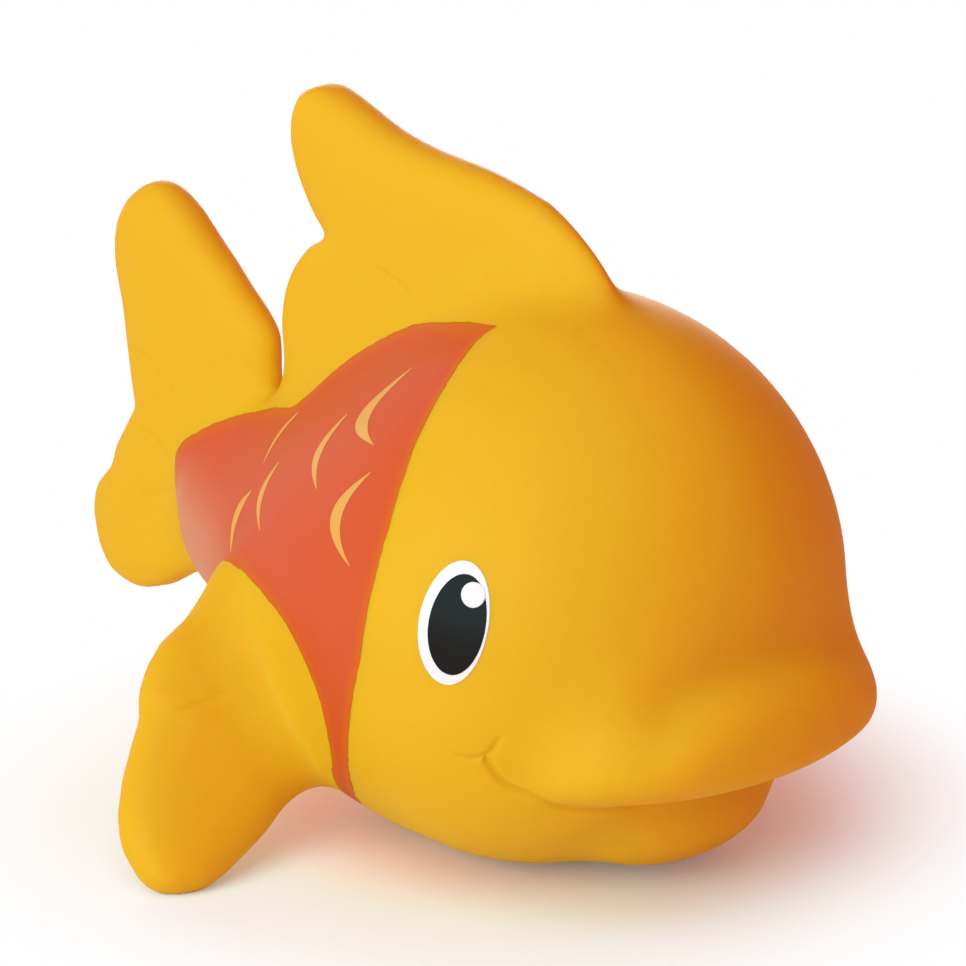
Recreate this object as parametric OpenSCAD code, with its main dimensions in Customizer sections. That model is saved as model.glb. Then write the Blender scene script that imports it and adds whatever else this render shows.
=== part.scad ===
// A squeaky bath toy: a goldfish moulded hollow in soft vinyl, with painted eyes and markings and a
// squeaker pressed into its belly. X runs from the tail to the lips, Y to the fish's own left and Z
// up. The origin lies under the middle of the toy's length, on the surface that it rests on.

/* [Body] */
// Length of the body, from the root of the tail to the front of a fully round head
body_l = 86; // [80:1:92]
// Height of the body at its head
body_h = 58.4; // [54:0.2:62]
// Width of the body at its cheeks
body_w = 57.4; // [53:0.2:62]
// Thickness of the moulded vinyl
wall_t = 2.4; // [2:0.1:3]
// How deep the round vinyl is flattened where the toy rests
foot_flat = 0.5; // [0.4:0.05:0.7]

/* [Mouth] */
// How far the upper lip stands out of the round head
lip_out = 6.8; // [5.6:0.1:7.8]
// Height of the upper lip, from its edge to where it runs out on the face
lip_h = 14.8; // [12.8:0.5:16.8]
// Height of the mouth's line above the floor, at the front
mouth_z = 12.7; // [11.5:0.1:14]
// Width of the chin
chin_w = 28; // [25:0.5:31]

/* [Dorsal fin] */
// Length of the dorsal fin, with its sunk root
dorsal_l = 52; // [48:0.5:56]
// Height of the dorsal fin, with its sunk root
dorsal_h = 40; // [36:0.5:44]
// Thickness of the dorsal fin
dorsal_t = 6.8; // [5.8:0.2:8]

/* [Tail fin] */
// Length of the tail fin, with its sunk root
tail_l = 34; // [31:0.5:37]
// Height of the tail fin
tail_h = 46.8; // [43:0.2:51]
// Thickness of the tail fin
tail_t = 6.2; // [5.2:0.2:7.2]

/* [Pectoral fins] */
// Length of a pectoral fin, from the middle of its root to its tip
pectoral_l = 29; // [27:0.5:31]
// Width of a pectoral fin at its root
pectoral_w = 24; // [22:0.5:26]
// Thickness of a pectoral fin
pectoral_t = 6.6; // [5.6:0.2:7.8]

/* [Paint] */
// Thickness of one coat of paint
paint_t = 0.25; // [0.2:0.05:0.35]
// Width of the white of an eye
eye_w = 7.4; // [6.4:0.1:8.4]
// Height of the white of an eye
eye_h = 12.7; // [11:0.1:14]
// Width of a pupil
pupil_w = 6; // [5:0.1:6.3]
// Height of a pupil
pupil_h = 10.3; // [9:0.1:10.8]
// Diameter of the white glint on a pupil
glint_d = 2.5; // [2:0.1:3]

/* [Squeaker] */
// Diameter of the squeaker's flange
squeaker_d = 17; // [16:0.5:18]
// Length of the squeaker's housing
squeaker_l = 12; // [11:0.5:14]
// Bore of the squeaker's housing
squeaker_bore = 8.4; // [8:0.1:9]
// Wall of the squeaker's housing
squeaker_wall = 1.8; // [1.5:0.1:2]
// Length of the reed's seat
seat_l = 15; // [14:0.5:16]
// Width of the reed
reed_w = 5.4; // [4.8:0.1:5.8]
// Thickness of the reed
reed_t = 0.3; // [0.25:0.05:0.4]

/* [Hidden] */

vinyl = [0.93, 0.68, 0.16];
coral = [0.90, 0.35, 0.23];
pale_orange = [0.93, 0.68, 0.30];
eye_white = [0.95, 0.94, 0.95];
black = [0.10, 0.10, 0.10];
moulded_white = [0.88, 0.87, 0.84];
brass = [0.78, 0.63, 0.30];

// Slack at the squeaker's grip, and a cut's run past a face
fit = 0.12;
overrun = 1;

// Places on the body follow its length and height from the root of the tail and the lowest vinyl
head_share = 0.663;
face_share = 0.955;
head_l = face_share * (1 - head_share) * body_l;
body_z = -foot_flat;
function head_round(z) = sqrt(1 - pow(2 * (z - body_z) / body_h - 1, 2));

nose_share = 0.26;
nose_out_share = 1;
lip_front = head_l * head_round(mouth_z + nose_share * lip_h) + nose_out_share * lip_out;
tail_out = 0.502 * tail_l;
toy_l = tail_out + head_share * body_l + lip_front;
body_x = -toy_l / 2 + tail_out;
head_x = body_x + head_share * body_l;

function on_body(along, up) = [body_x + along * body_l, 0, body_z + up * body_h];

// Smooth curves through rows of numbers, and skins over rings of points

function spline(rows, k, t) =
    let (a = rows[max(k - 1, 0)], b = rows[k], c = rows[k + 1], d = rows[min(k + 2, len(rows) - 1)])
    b + (c - a) * t / 2 + (2 * a - 5 * b + 4 * c - d) * t * t / 2 + (3 * b - a - 3 * c + d) * pow(t, 3) / 2;

function smooth_rows(rows, steps) = concat(
    [for (k = [0 : len(rows) - 2], s = [0 : steps - 1]) spline(rows, k, s / steps)],
    [rows[len(rows) - 1]]
);

function middle(points, k = 0, total = [0, 0, 0]) =
    k == len(points) ? total / len(points) : middle(points, k + 1, total + points[k]);

function keep_sign(v, power) = sign(v) * pow(abs(v), power);

tip_share = 0.2;
function tip(last, before) = middle(last) + tip_share * (middle(last) - middle(before));

module skin(rings) {
    n = len(rings[0]);
    m = len(rings);
    sides = [
        for (k = [0 : m - 2], i = [0 : n - 1])
            let (a = k * n + i, b = k * n + (i + 1) % n)
            each [[a, a + n, b], [b, a + n, b + n]]
    ];
    first = [for (i = [0 : n - 1]) [m * n, i, (i + 1) % n]];
    last = [for (i = [0 : n - 1]) [m * n + 1, (m - 1) * n + (i + 1) % n, (m - 1) * n + i]];
    ends = [tip(rings[0], rings[1]), tip(rings[m - 1], rings[m - 2])];
    polyhedron(concat([for (r = rings) each r], ends), concat(sides, first, last));
}

// The body tapers back from a round head. A row gives the place along it, then the bottom, the
// middle, the top and the half width there
stem_shares = [
    [0.000, 0.317, 0.427, 0.525, 0.090],
    [0.018, 0.282, 0.430, 0.580, 0.170],
    [0.060, 0.262, 0.435, 0.618, 0.235],
    [0.163, 0.210, 0.437, 0.667, 0.375],
    [0.279, 0.150, 0.447, 0.750, 0.570],
    [0.395, 0.040, 0.463, 0.848, 0.767],
    [0.512, 0.000, 0.483, 0.938, 0.910],
    [0.600, 0.000, 0.496, 0.996, 0.980],
];
brow_share = 0.520;
brow_power = 0.90;
belly_power = 0.79;
back_power = 1.13;
head_steps = 14;
head_turn = 86;
head_shares = [
    for (k = [0 : head_steps])
        let (a = head_turn * k / head_steps, low = 0.5 - cos(a) / 2, top = 0.5 + brow_share * pow(cos(a), brow_power))
        [head_share + face_share * (1 - head_share) * sin(a), low, 0.5, top, cos(a)]
];

function body_ring(row, grow, n) =
    let (
        x = body_x - grow + row[0] * (body_l + 2 * grow),
        mid = body_z + row[2] * body_h,
        up = (row[3] - row[2]) * body_h + grow,
        down = (row[2] - row[1]) * body_h + grow,
        half = row[4] * body_w / 2 + grow
    )
    [for (i = [0 : n - 1])
        let (a = 360 * i / n, lower = sin(a) < 0, power = lower ? belly_power : back_power)
        [x, half * keep_sign(cos(a), power), mid + (lower ? down : up) * keep_sign(sin(a), power)]];

module body_form(grow, n, steps) {
    skin([for (row = concat(smooth_rows(stem_shares, steps), head_shares)) body_ring(row, grow, n)]);
}

module body_skin(coats) {
    body_form(coats * paint_t, 36, 3);
}

// A point out of the round head, at an angle from its front and a height above the floor
function head_point(angle, z, out) =
    let (r = head_round(z))
    [head_x + (head_l * r + out) * cos(angle), (body_w / 2 * r + out) * sin(angle), z];

// The upper lip runs round the face from one corner of the mouth to the other
mouth_angle = 65;
lip_steps = 28;
corner_rise = 5.1;
crease_out = 0.3;
fade_share = 0.91;
tall_share = 0.87;
// Height along the lip, and how far out it stands there
lip_shares = [
    [0.00, -0.70], [0.00, -0.22], [0.00, 0.18], [0.04, 0.50], [0.13, 0.82], [nose_share, nose_out_share],
    [0.45, 0.88], [0.59, 0.70], [0.74, 0.48], [0.88, 0.27], [1.00, 0.02], [1.10, -0.30], [1.10, -0.70],
];

module lip() {
    skin([for (k = [0 : lip_steps])
        let (
            t = 1 - 2 * k / lip_steps,
            z = mouth_z + corner_rise * pow(abs(t), 10),
            out = lip_out * pow(max(0, 1 - pow(abs(t) / fade_share, 4)), 1.25) + crease_out,
            tall = lip_h * (0.12 + 0.88 * max(0, 1 - pow(abs(t) / tall_share, 4)))
        )
        [for (row = lip_shares) head_point(mouth_angle * t, z + row[0] * tall, row[1] * out)]]);
}

module chin() {
    translate(on_body(0.794, 0.158)) {
        scale([0.82 * chin_w, chin_w, 0.55 * chin_w] / 2) {
            sphere(1, $fn = 28);
        }
    }
}

// Fins are flat lofts with round edges, each ring running from the front edge to the back edge
fin_n = 16;
fin_power = 0.85;
function fin_ring(front, back, side, t) =
    [for (i = [0 : fin_n - 1])
        let (a = 360 * i / fin_n)
        (front + back) / 2 + (front - back) / 2 * keep_sign(cos(a), fin_power)
            + side * t / 2 * keep_sign(sin(a), fin_power)];

// Front edge along and up, back edge along and up, and thickness
dorsal_shares = [
    [1.000, 0.400, 0.014, 0.000, 1.60],
    [0.990, 0.537, 0.019, 0.175, 1.25],
    [0.978, 0.600, 0.019, 0.300, 1.10],
    [0.950, 0.675, 0.029, 0.400, 1.00],
    [0.885, 0.750, 0.060, 0.482, 1.00],
    [0.769, 0.825, 0.110, 0.550, 1.00],
    [0.605, 0.872, 0.166, 0.592, 1.00],
    [0.468, 0.889, 0.139, 0.645, 1.00],
    [0.352, 0.919, 0.108, 0.712, 0.98],
    [0.268, 0.959, 0.085, 0.787, 0.95],
    [0.205, 0.988, 0.078, 0.862, 0.88],
    [0.163, 0.998, 0.090, 0.925, 0.75],
    [0.135, 0.990, 0.104, 0.965, 0.50],
];
dorsal_root = on_body(0.151, 0.589);
function on_dorsal(along, up) = dorsal_root + [along * dorsal_l, 0, up * dorsal_h];

module dorsal_fin() {
    skin([for (row = smooth_rows(dorsal_shares, 2))
        fin_ring(on_dorsal(row[0], row[1]), on_dorsal(row[2], row[3]), [0, 1, 0], row[4] * dorsal_t)]);
}

// Height, front edge, back edge and thickness
tail_shares = [
    [0.000, 0.256, 0.167, 0.35],
    [0.025, 0.356, 0.080, 0.72],
    [0.080, 0.516, 0.027, 0.95],
    [0.158, 0.656, 0.000, 1.00],
    [0.215, 0.676, 0.016, 1.00],
    [0.280, 0.696, 0.098, 1.00],
    [0.333, 0.716, 0.122, 1.00],
    [0.449, 0.756, 0.225, 1.00],
    [0.532, 0.848, 0.200, 1.00],
    [0.610, 0.890, 0.182, 1.00],
    [0.700, 0.874, 0.165, 1.00],
    [0.752, 0.811, 0.147, 1.00],
    [0.800, 0.731, 0.137, 1.00],
    [0.850, 0.656, 0.140, 1.00],
    [0.900, 0.571, 0.160, 0.97],
    [0.950, 0.496, 0.207, 0.85],
    [0.985, 0.426, 0.269, 0.60],
    [1.000, 0.376, 0.316, 0.35],
];
tail_z = on_body(0, 0.205)[2];
function on_tail(along, up) = [-toy_l / 2 + along * tail_l, 0, tail_z + up * tail_h];

module tail_fin() {
    skin([for (row = tail_shares)
        fin_ring(on_tail(row[1], row[0]), on_tail(row[2], row[0]), [0, 1, 0], row[3] * tail_t)]);
}

// The right pectoral fin reaches out, forward and down to the floor, with its front edge turned down
pectoral_sweep = 16.8;
pectoral_droop = 33.7;
pectoral_roll = 37.6;
pectoral_root = on_body(0.39, 0.296) - [0, 0.645 * body_w / 2, 0];
pectoral_out = [
    sin(pectoral_sweep) * cos(pectoral_droop),
    -cos(pectoral_sweep) * cos(pectoral_droop),
    -sin(pectoral_droop)
];
pectoral_level = [cos(pectoral_sweep), sin(pectoral_sweep), 0];
pectoral_along = cos(pectoral_roll) * pectoral_level
    - sin(pectoral_roll) * cross(pectoral_out, pectoral_level);
pectoral_side = cross(pectoral_out, pectoral_along);
// Way out along the fin, front edge, back edge and thickness
pectoral_shares = [
    [-0.30, 0.400, -0.480, 1.15],
    [-0.17, 0.440, -0.505, 1.10],
    [0.04, 0.460, -0.505, 1.02],
    [0.17, 0.455, -0.530, 1.00],
    [0.28, 0.430, -0.530, 1.00],
    [0.38, 0.340, -0.505, 1.00],
    [0.46, 0.290, -0.452, 1.00],
    [0.56, 0.255, -0.428, 1.00],
    [0.70, 0.215, -0.390, 0.98],
    [0.83, 0.170, -0.335, 0.92],
    [0.92, 0.120, -0.265, 0.80],
    [0.98, 0.040, -0.160, 0.60],
    [1.00, -0.020, -0.105, 0.40],
];
function on_pectoral(out, along, side) = pectoral_root + out * pectoral_l * pectoral_out
    + along * pectoral_w * pectoral_along + side * pectoral_t / 2 * pectoral_side;

module pectoral_fin() {
    skin([for (row = pectoral_shares)
        fin_ring(on_pectoral(row[0], row[1], 0), on_pectoral(row[0], row[2], 0),
            pectoral_side, row[3] * pectoral_t)]);
}

// Fine creases are pressed into the fins and across the corners of the mouth
crease_d = 1.2;
module crease(from, to) {
    hull() {
        for (end = [from, to]) {
            translate(end) {
                sphere(d = crease_d, $fn = 6);
            }
        }
    }
}

// Start and end of the creases on each side of the upright fins
dorsal_crease_shares = [[0.283, 0.562], [0.458, 0.512]];
tail_crease_shares = [
    [[0.391, 0.626], [0.565, 0.534]], [[0.382, 0.421], [0.500, 0.389]], [[0.321, 0.254], [0.480, 0.270]],
];
// From each corner of the mouth a crease runs forward under the lip, and two short ones cross it. Both
// turns are in degrees: forward round the face, then down round the cheek
smile_turns = [[25, 18.6], [29, 26.2], [33.4, 34.1], [38.2, 43.2]];
dimple_turns = [[20.7, 18.3], [29.3, 14.7]];
function face_point(forward, down) = [
    head_x + head_l * sin(forward),
    -body_w / 2 * cos(forward) * pow(cos(down), belly_power),
    body_z + body_h / 2 * (1 - cos(forward) * pow(sin(down), belly_power))
];

module right_creases() {
    dorsal_side = [0, -dorsal_t / 2, 0];
    tail_side = [0, -tail_t / 2, 0];
    crease(on_dorsal(dorsal_crease_shares[0][0], dorsal_crease_shares[0][1]) + dorsal_side,
        on_dorsal(dorsal_crease_shares[1][0], dorsal_crease_shares[1][1]) + dorsal_side);
    for (pair = tail_crease_shares) {
        crease(on_tail(pair[0][0], pair[0][1]) + tail_side, on_tail(pair[1][0], pair[1][1]) + tail_side);
    }
    crease(on_pectoral(0.42, -0.34, 1), on_pectoral(0.27, -0.18, 1));
    for (k = [0 : len(smile_turns) - 2]) {
        crease(face_point(smile_turns[k][0], smile_turns[k][1]),
            face_point(smile_turns[k + 1][0], smile_turns[k + 1][1]));
    }
    crease(face_point(dimple_turns[0][0], dimple_turns[0][1]), face_point(smile_turns[0][0], smile_turns[0][1]));
    crease(face_point(dimple_turns[1][0], dimple_turns[1][1]), face_point(smile_turns[0][0], smile_turns[0][1]));
}

module both_sides() {
    children();
    mirror([0, 1, 0]) {
        children();
    }
}

module moulded_form() {
    difference() {
        union() {
            body_skin(0);
            lip();
            chin();
            dorsal_fin();
            tail_fin();
            both_sides() {
                pectoral_fin();
            }
        }
        both_sides() {
            right_creases();
        }
    }
}

// The squeaker sits in a pit in the belly, where a pad of thicker vinyl grips its neck
squeaker_at = [on_body(0.54, 0)[0], 0, 0];
pit_roof = 3.8;
pit_slack = 0.3;
grip_t = 2.6;
pad_margin = 2;
flange_t = 1.5;
neck_d = squeaker_bore + 2 * squeaker_wall;
barb_out = 1.1;
barb_h = 2;
flange_z = pit_roof - fit - flange_t;

module squeaker_pad() {
    translate(squeaker_at) {
        cylinder(d = squeaker_d + 2 * pad_margin, h = pit_roof + grip_t, $fn = 48);
    }
}

module squeaker_hole() {
    translate(squeaker_at) {
        translate([0, 0, -overrun]) {
            cylinder(d = squeaker_d + 2 * pit_slack, h = pit_roof + overrun, $fn = 64);
            cylinder(d = neck_d + 2 * fit, h = pit_roof + grip_t + 2 * overrun, $fn = 64);
        }
    }
}

module vinyl_body() {
    color(vinyl) {
        difference() {
            moulded_form();
            difference() {
                body_form(-wall_t, 20, 2);
                squeaker_pad();
            }
            squeaker_hole();
            translate([-toy_l, -toy_l, -toy_l]) {
                cube([2 * toy_l, 2 * toy_l, toy_l]);
            }
        }
    }
}

// Outlines of paint are drawn on the right side, and turned over for the left
module on_side(side) {
    if (side == "left") {
        mirror([0, 1, 0]) {
            children();
        }
    } else {
        children();
    }
}

// Paint lies on the body's skin, on top of the coats under it, inside an outline cut straight through
module painted(coats) {
    difference() {
        intersection() {
            body_skin(coats);
            children();
        }
        moulded_form();
        if (coats > 1) {
            body_skin(coats - 1);
        }
    }
}

// The coral coat's edge in side view, as places on the body, from the back down the front edge
coat_shares = [
    [0.607, 1.034], [0.613, 0.966], [0.622, 0.934], [0.634, 0.876], [0.643, 0.807], [0.653, 0.740],
    [0.658, 0.662], [0.656, 0.580], [0.644, 0.470], [0.619, 0.366], [0.590, 0.264], [0.541, 0.150],
    [0.500, 0.076], [0.483, 0.076], [0.517, 0.161], [0.538, 0.246], [0.544, 0.331], [0.505, 0.406],
    [0.416, 0.453], [0.291, 0.445], [0.186, 0.376], [0.093, 0.299], [-0.023, 0.282], [-0.023, 1.034],
];

// The space that a side view's outline sweeps out from the middle of the fish to its right
module swept_right() {
    rotate([90, 0, 0]) {
        linear_extrude(body_w) {
            children();
        }
    }
}

module coral_coat(side) {
    color(coral) {
        painted(1) {
            on_side(side) {
                swept_right() {
                    polygon([for (row = coat_shares) let (at = on_body(row[0], row[1])) [at[0], at[2]]]);
                }
            }
        }
    }
}

// Scale marks are crescents. A row gives the upper and the lower end as places on the body, then how
// far the crescent swells to the rear and how wide it is, as shares of the span between its ends
mark_shares = [
    [0.539, 0.883, 0.572, 0.783, 0.87, 0.34],
    [0.460, 0.785, 0.486, 0.676, 0.49, 0.15],
    [0.592, 0.752, 0.611, 0.602, 0.58, 0.21],
    [0.293, 0.709, 0.277, 0.616, 0.21, 0.08],
    [0.331, 0.651, 0.356, 0.546, 0.47, 0.18],
    [0.275, 0.576, 0.243, 0.438, 0.22, 0.13],
];
mark_steps = 9;
module crescent(from, to, swell, width) {
    across = [to[1] - from[1], from[0] - to[0]];
    outer = [for (k = [0 : mark_steps])
        let (t = k / mark_steps) from + t * (to - from) + swell * sin(180 * t) * across];
    inner = [for (k = [mark_steps - 1 : -1 : 1])
        let (t = k / mark_steps) from + t * (to - from) + (swell - width) * sin(180 * t) * across];
    polygon(concat(outer, inner));
}

module scale_marks(side) {
    color(pale_orange) {
        painted(2) {
            on_side(side) {
                swept_right() {
                    for (row = mark_shares) {
                        from = on_body(row[0], row[1]);
                        to = on_body(row[2], row[3]);
                        crescent([from[0], from[2]], [to[0], to[2]], row[4], row[5]);
                    }
                }
            }
        }
    }
}

// The right eye looks out from the cheek, turned forward and a little up, and leans forward at its top
eye_turn = 21;
eye_up = 7.8;
eye_lean = 9;
eye_at = on_body(0.772, 0.558) - [0, 0.93 * body_w / 2, 0];
pupil_on = 0.06 * eye_w;
glint_on = [0.16 * pupil_w, 0.33 * pupil_h];
eye_n = 40;

module eye_oval(width, height, forward, up) {
    translate(eye_at) {
        rotate([0, 0, eye_turn]) {
            rotate([90 - eye_up, 0, 0]) {
                linear_extrude(body_w / 2, center = true) {
                    rotate(-eye_lean) {
                        translate([forward, up]) {
                            resize([width, height]) {
                                circle(d = width, $fn = eye_n);
                            }
                        }
                    }
                }
            }
        }
    }
}

module eye_print(side, coats) {
    painted(coats) {
        on_side(side) {
            intersection() {
                children();
                translate([-toy_l, -toy_l - body_w / 4, -toy_l]) {
                    cube([2 * toy_l, toy_l, 2 * toy_l]);
                }
            }
        }
    }
}

module eye_white_coat(side) {
    color(eye_white) {
        eye_print(side, 1) {
            eye_oval(eye_w, eye_h, 0, 0);
        }
    }
}

module eye_pupil_coat(side) {
    color(black) {
        eye_print(side, 2) {
            eye_oval(pupil_w, pupil_h, pupil_on, 0);
        }
    }
}

module eye_glint_coat(side) {
    color(eye_white) {
        eye_print(side, 3) {
            eye_oval(glint_d, glint_d, pupil_on + glint_on[0], glint_on[1]);
        }
    }
}

// The squeaker's housing is a bored plug with a flange below, a neck and a snap barb
bore_floor = 2.5;
air_hole_share = 0.45;
module squeaker_housing() {
    neck_top = grip_t + 2 * fit + flange_t;
    color(moulded_white) {
        translate(squeaker_at + [0, 0, flange_z]) {
            difference() {
                union() {
                    cylinder(d = squeaker_d, h = flange_t, $fn = 96);
                    cylinder(d = neck_d, h = squeaker_l, $fn = 96);
                    translate([0, 0, neck_top]) {
                        cylinder(d1 = neck_d + 2 * barb_out, d2 = neck_d, h = barb_h, $fn = 96);
                    }
                }
                translate([0, 0, bore_floor]) {
                    cylinder(d = squeaker_bore, h = squeaker_l, $fn = 96);
                }
                translate([0, 0, -overrun]) {
                    cylinder(d = air_hole_share * squeaker_bore, h = squeaker_l, $fn = 64);
                }
            }
        }
    }
}

// In the bore a slotted seat and a wedge pinch the reed, whose free end beats over the slot
reed_slack = 0.15;
rod_d = squeaker_bore - 2 * fit;
seat_z = flange_z + bore_floor + fit;
bore_top = flange_z + squeaker_l;
root_l = 2;
reed_short = 0.8;
slot_share = 0.36;
seat_fall = 7;

module half_rod(length, gap) {
    intersection() {
        cylinder(d = rod_d, h = length, $fn = 96);
        translate([gap, -rod_d, -overrun]) {
            cube([rod_d, 2 * rod_d, length + 2 * overrun]);
        }
    }
}

module reed_seat() {
    slot = slot_share * rod_d;
    color(moulded_white) {
        translate(squeaker_at + [0, 0, seat_z]) {
            difference() {
                mirror([1, 0, 0]) {
                    half_rod(seat_l, 0);
                }
                translate([-slot, -slot / 2, -overrun]) {
                    cube([rod_d, slot, seat_l - slot / 2 + overrun]);
                }
                translate([0, -rod_d, bore_top - seat_z]) {
                    rotate([0, -seat_fall, 0]) {
                        cube([rod_d, 2 * rod_d, seat_l]);
                    }
                }
            }
        }
    }
}

module reed_tongue() {
    color(brass) {
        translate(squeaker_at + [reed_slack, -reed_w / 2, bore_top - root_l]) {
            cube([reed_t, reed_w, seat_z + seat_l - bore_top + root_l - reed_short]);
        }
    }
}

module reed_wedge() {
    color(moulded_white) {
        translate(squeaker_at + [0, 0, seat_z]) {
            half_rod(bore_top - seat_z, 2 * reed_slack + reed_t);
        }
    }
}

vinyl_body();
coral_coat("right");  // coral_coat_right
coral_coat("left");  // coral_coat_left
scale_marks("right");  // scale_marks_right
scale_marks("left");  // scale_marks_left
eye_white_coat("right");  // eye_white_right
eye_white_coat("left");  // eye_white_left
eye_pupil_coat("right");  // eye_pupil_right
eye_pupil_coat("left");  // eye_pupil_left
eye_glint_coat("right");  // eye_glint_right
eye_glint_coat("left");  // eye_glint_left
squeaker_housing();
reed_seat();
reed_tongue();
reed_wedge();
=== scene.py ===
import math

import bmesh
import bpy
import numpy as np
from mathutils import Matrix, Vector, kdtree, noise
from mathutils.bvhtree import BVHTree


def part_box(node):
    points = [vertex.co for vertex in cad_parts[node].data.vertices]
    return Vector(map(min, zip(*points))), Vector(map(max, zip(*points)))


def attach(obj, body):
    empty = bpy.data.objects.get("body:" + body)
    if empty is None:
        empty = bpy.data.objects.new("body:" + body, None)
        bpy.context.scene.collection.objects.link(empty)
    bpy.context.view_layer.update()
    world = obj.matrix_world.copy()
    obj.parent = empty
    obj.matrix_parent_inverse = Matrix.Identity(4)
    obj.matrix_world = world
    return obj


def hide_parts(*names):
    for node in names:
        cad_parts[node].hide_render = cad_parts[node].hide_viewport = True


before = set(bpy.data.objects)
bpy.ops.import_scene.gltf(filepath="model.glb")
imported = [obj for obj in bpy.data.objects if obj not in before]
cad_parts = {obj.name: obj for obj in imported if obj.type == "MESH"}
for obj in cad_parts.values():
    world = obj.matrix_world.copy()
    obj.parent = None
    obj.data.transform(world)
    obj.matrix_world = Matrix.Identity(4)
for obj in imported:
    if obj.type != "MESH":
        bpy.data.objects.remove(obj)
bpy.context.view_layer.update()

MM = 0.001

# The fish is one hollow moulding in soft vinyl, poured and turned in a heated mould. Every edge comes out
# round, and the fins run into the body through soft fillets. The skin is the CAD body made even and
# smooth, with the squeaker's pit left as it is cut.
VOXEL = 0.5 * MM
MERGE_WITHIN = 0.001 * MM
PLUG_RADIUS, PLUG_DEPTH, PLUG_LIFT = 7 * MM, 2.2 * MM, 2.9 * MM
HEAD_X = 21.06 * MM
OUTSIDE = 60 * MM

# Rounds of smoothing and of filling, and how far the fins grow to make up for what theirs take off
BODY_ROUNDS, FIN_ROUNDS, LAST_ROUNDS = 60, 16, 12
FILLET_ROUNDS, CHEEK_ROUNDS = 500, 700
FIN_ROOT_FILL_ROUNDS, FIN_ROOT_ROUNDS = 200, 40
NORMALS_EVERY = 20
FIN_GROWTH = 0.30 * MM

# Each pair is where a share starts to change and where it is done, as a distance, or as a turn in
# degrees from the nose
WALL_REACH = (6 * MM, 11 * MM)
INNER_SIDE = 1.5 * MM
MOUTH_REACH = (1.5 * MM, 5 * MM)
PIT_KEPT = (10.6 * MM, 13.5 * MM)
PIT_HEIGHT = (7 * MM, 10 * MM)
LIP_FRONT_TURN = (18, 32)
CHEEK_TURNS = ((26, 38), (66, 74))
CHEEK_HEIGHTS = ((13.5 * MM, 16 * MM), (34 * MM, 40 * MM))
FINS_END = (20 * MM, 28 * MM)
FIN_ROOT_WIDTHS = ((19 * MM, 23 * MM), (25 * MM, 30 * MM))
FIN_ROOT_END = (6 * MM, 12 * MM)

# The mouth's line on the right side, as turns from the nose in degrees and heights in mm
MOUTH_LINE = [(62, 16.4), (57, 14.4), (50, 13.0), (40, 12.4), (30, 12.2), (20, 12.2), (10, 12.2), (0, 12.2)]


def smooth_step(values, low, high):
    t = np.clip((values - low) / (high - low), 0.0, 1.0)
    return t * t * (3.0 - 2.0 * t)


def between(values, rise, fall):
    return smooth_step(values, *rise) * (1 - smooth_step(values, *fall))


def links_of(mesh):
    links = np.zeros(len(mesh.edges) * 2, np.int64)
    mesh.edges.foreach_get("vertices", links)
    return links.reshape(-1, 2)


def to_neighbours(values, links):
    """The way from each vertex to the middle of its neighbours."""
    count = np.bincount(links.ravel(), minlength=len(values)).astype(float)
    total = np.empty_like(values)
    for axis in range(values.shape[1]):
        total[:, axis] = np.bincount(links[:, 0], values[links[:, 1], axis], len(values))
        total[:, axis] += np.bincount(links[:, 1], values[links[:, 0], axis], len(values))
    return total / count[:, None] - values


def relaxed(values, links, rounds, pull=0.5, share=1.0):
    values = values.copy()
    for _ in range(rounds):
        values += pull * share * to_neighbours(values, links)
    return values


def normals_of(mesh, points):
    mesh.vertices.foreach_set("co", points.ravel())
    mesh.update()
    normals = np.zeros(len(points) * 3)
    mesh.vertex_normals.foreach_get("vector", normals)
    return normals.reshape(-1, 3)


def remeshed_body():
    """The CAD body in small even faces. A plug where the squeaker's neck goes closes the hollow first."""
    body = bmesh.new()
    body.from_mesh(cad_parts["vinyl_body"].data)
    bmesh.ops.remove_doubles(body, verts=body.verts, dist=MERGE_WITHIN)
    low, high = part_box("squeaker_housing")
    plug_at = Vector(((low.x + high.x) / 2, (low.y + high.y) / 2, low.z + PLUG_LIFT))
    bmesh.ops.create_cone(
        body, cap_ends=True, segments=64, radius1=PLUG_RADIUS, radius2=PLUG_RADIUS, depth=PLUG_DEPTH,
        matrix=Matrix.Translation(plug_at),
    )
    mesh = bpy.data.meshes.new("body_form")
    body.to_mesh(mesh)
    body.free()
    form = bpy.data.objects.new("body_form", mesh)
    bpy.context.scene.collection.objects.link(form)
    remesh = form.modifiers.new("even_faces", "REMESH")
    remesh.mode = "VOXEL"
    remesh.voxel_size = VOXEL
    ready = form.evaluated_get(bpy.context.evaluated_depsgraph_get())
    skin = bpy.data.meshes.new_from_object(ready)
    bpy.data.objects.remove(form)
    skin.name = "vinyl_skin"
    return skin


def cut_pit_share(points):
    """None in the squeaker's pit, where the moulding is cut to size, and all of it away from there."""
    low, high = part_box("squeaker_housing")
    centre = (low + high) / 2
    out = np.hypot(points[:, 0] - centre.x, points[:, 1] - centre.y)
    above = smooth_step(points[:, 2], *PIT_HEIGHT)
    return np.maximum(smooth_step(out, *PIT_KEPT), above)[:, None]


def distances(points, tree):
    return np.array([tree.find_nearest(Vector(p))[3] for p in points])


def near_hollow_share(points, skin_tree):
    """All of it over the hollow inside the moulding, and none out on the solid fins."""
    cad = bmesh.new()
    cad.from_mesh(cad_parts["vinyl_body"].data)
    outer = [f for f in cad.faces if skin_tree.find_nearest(f.calc_center_median())[3] < INNER_SIDE]
    bmesh.ops.delete(cad, geom=outer, context="FACES")
    wall = BVHTree.FromBMesh(cad)
    cad.free()
    return 1.0 - smooth_step(distances(points, wall), *WALL_REACH)[:, None]


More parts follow.
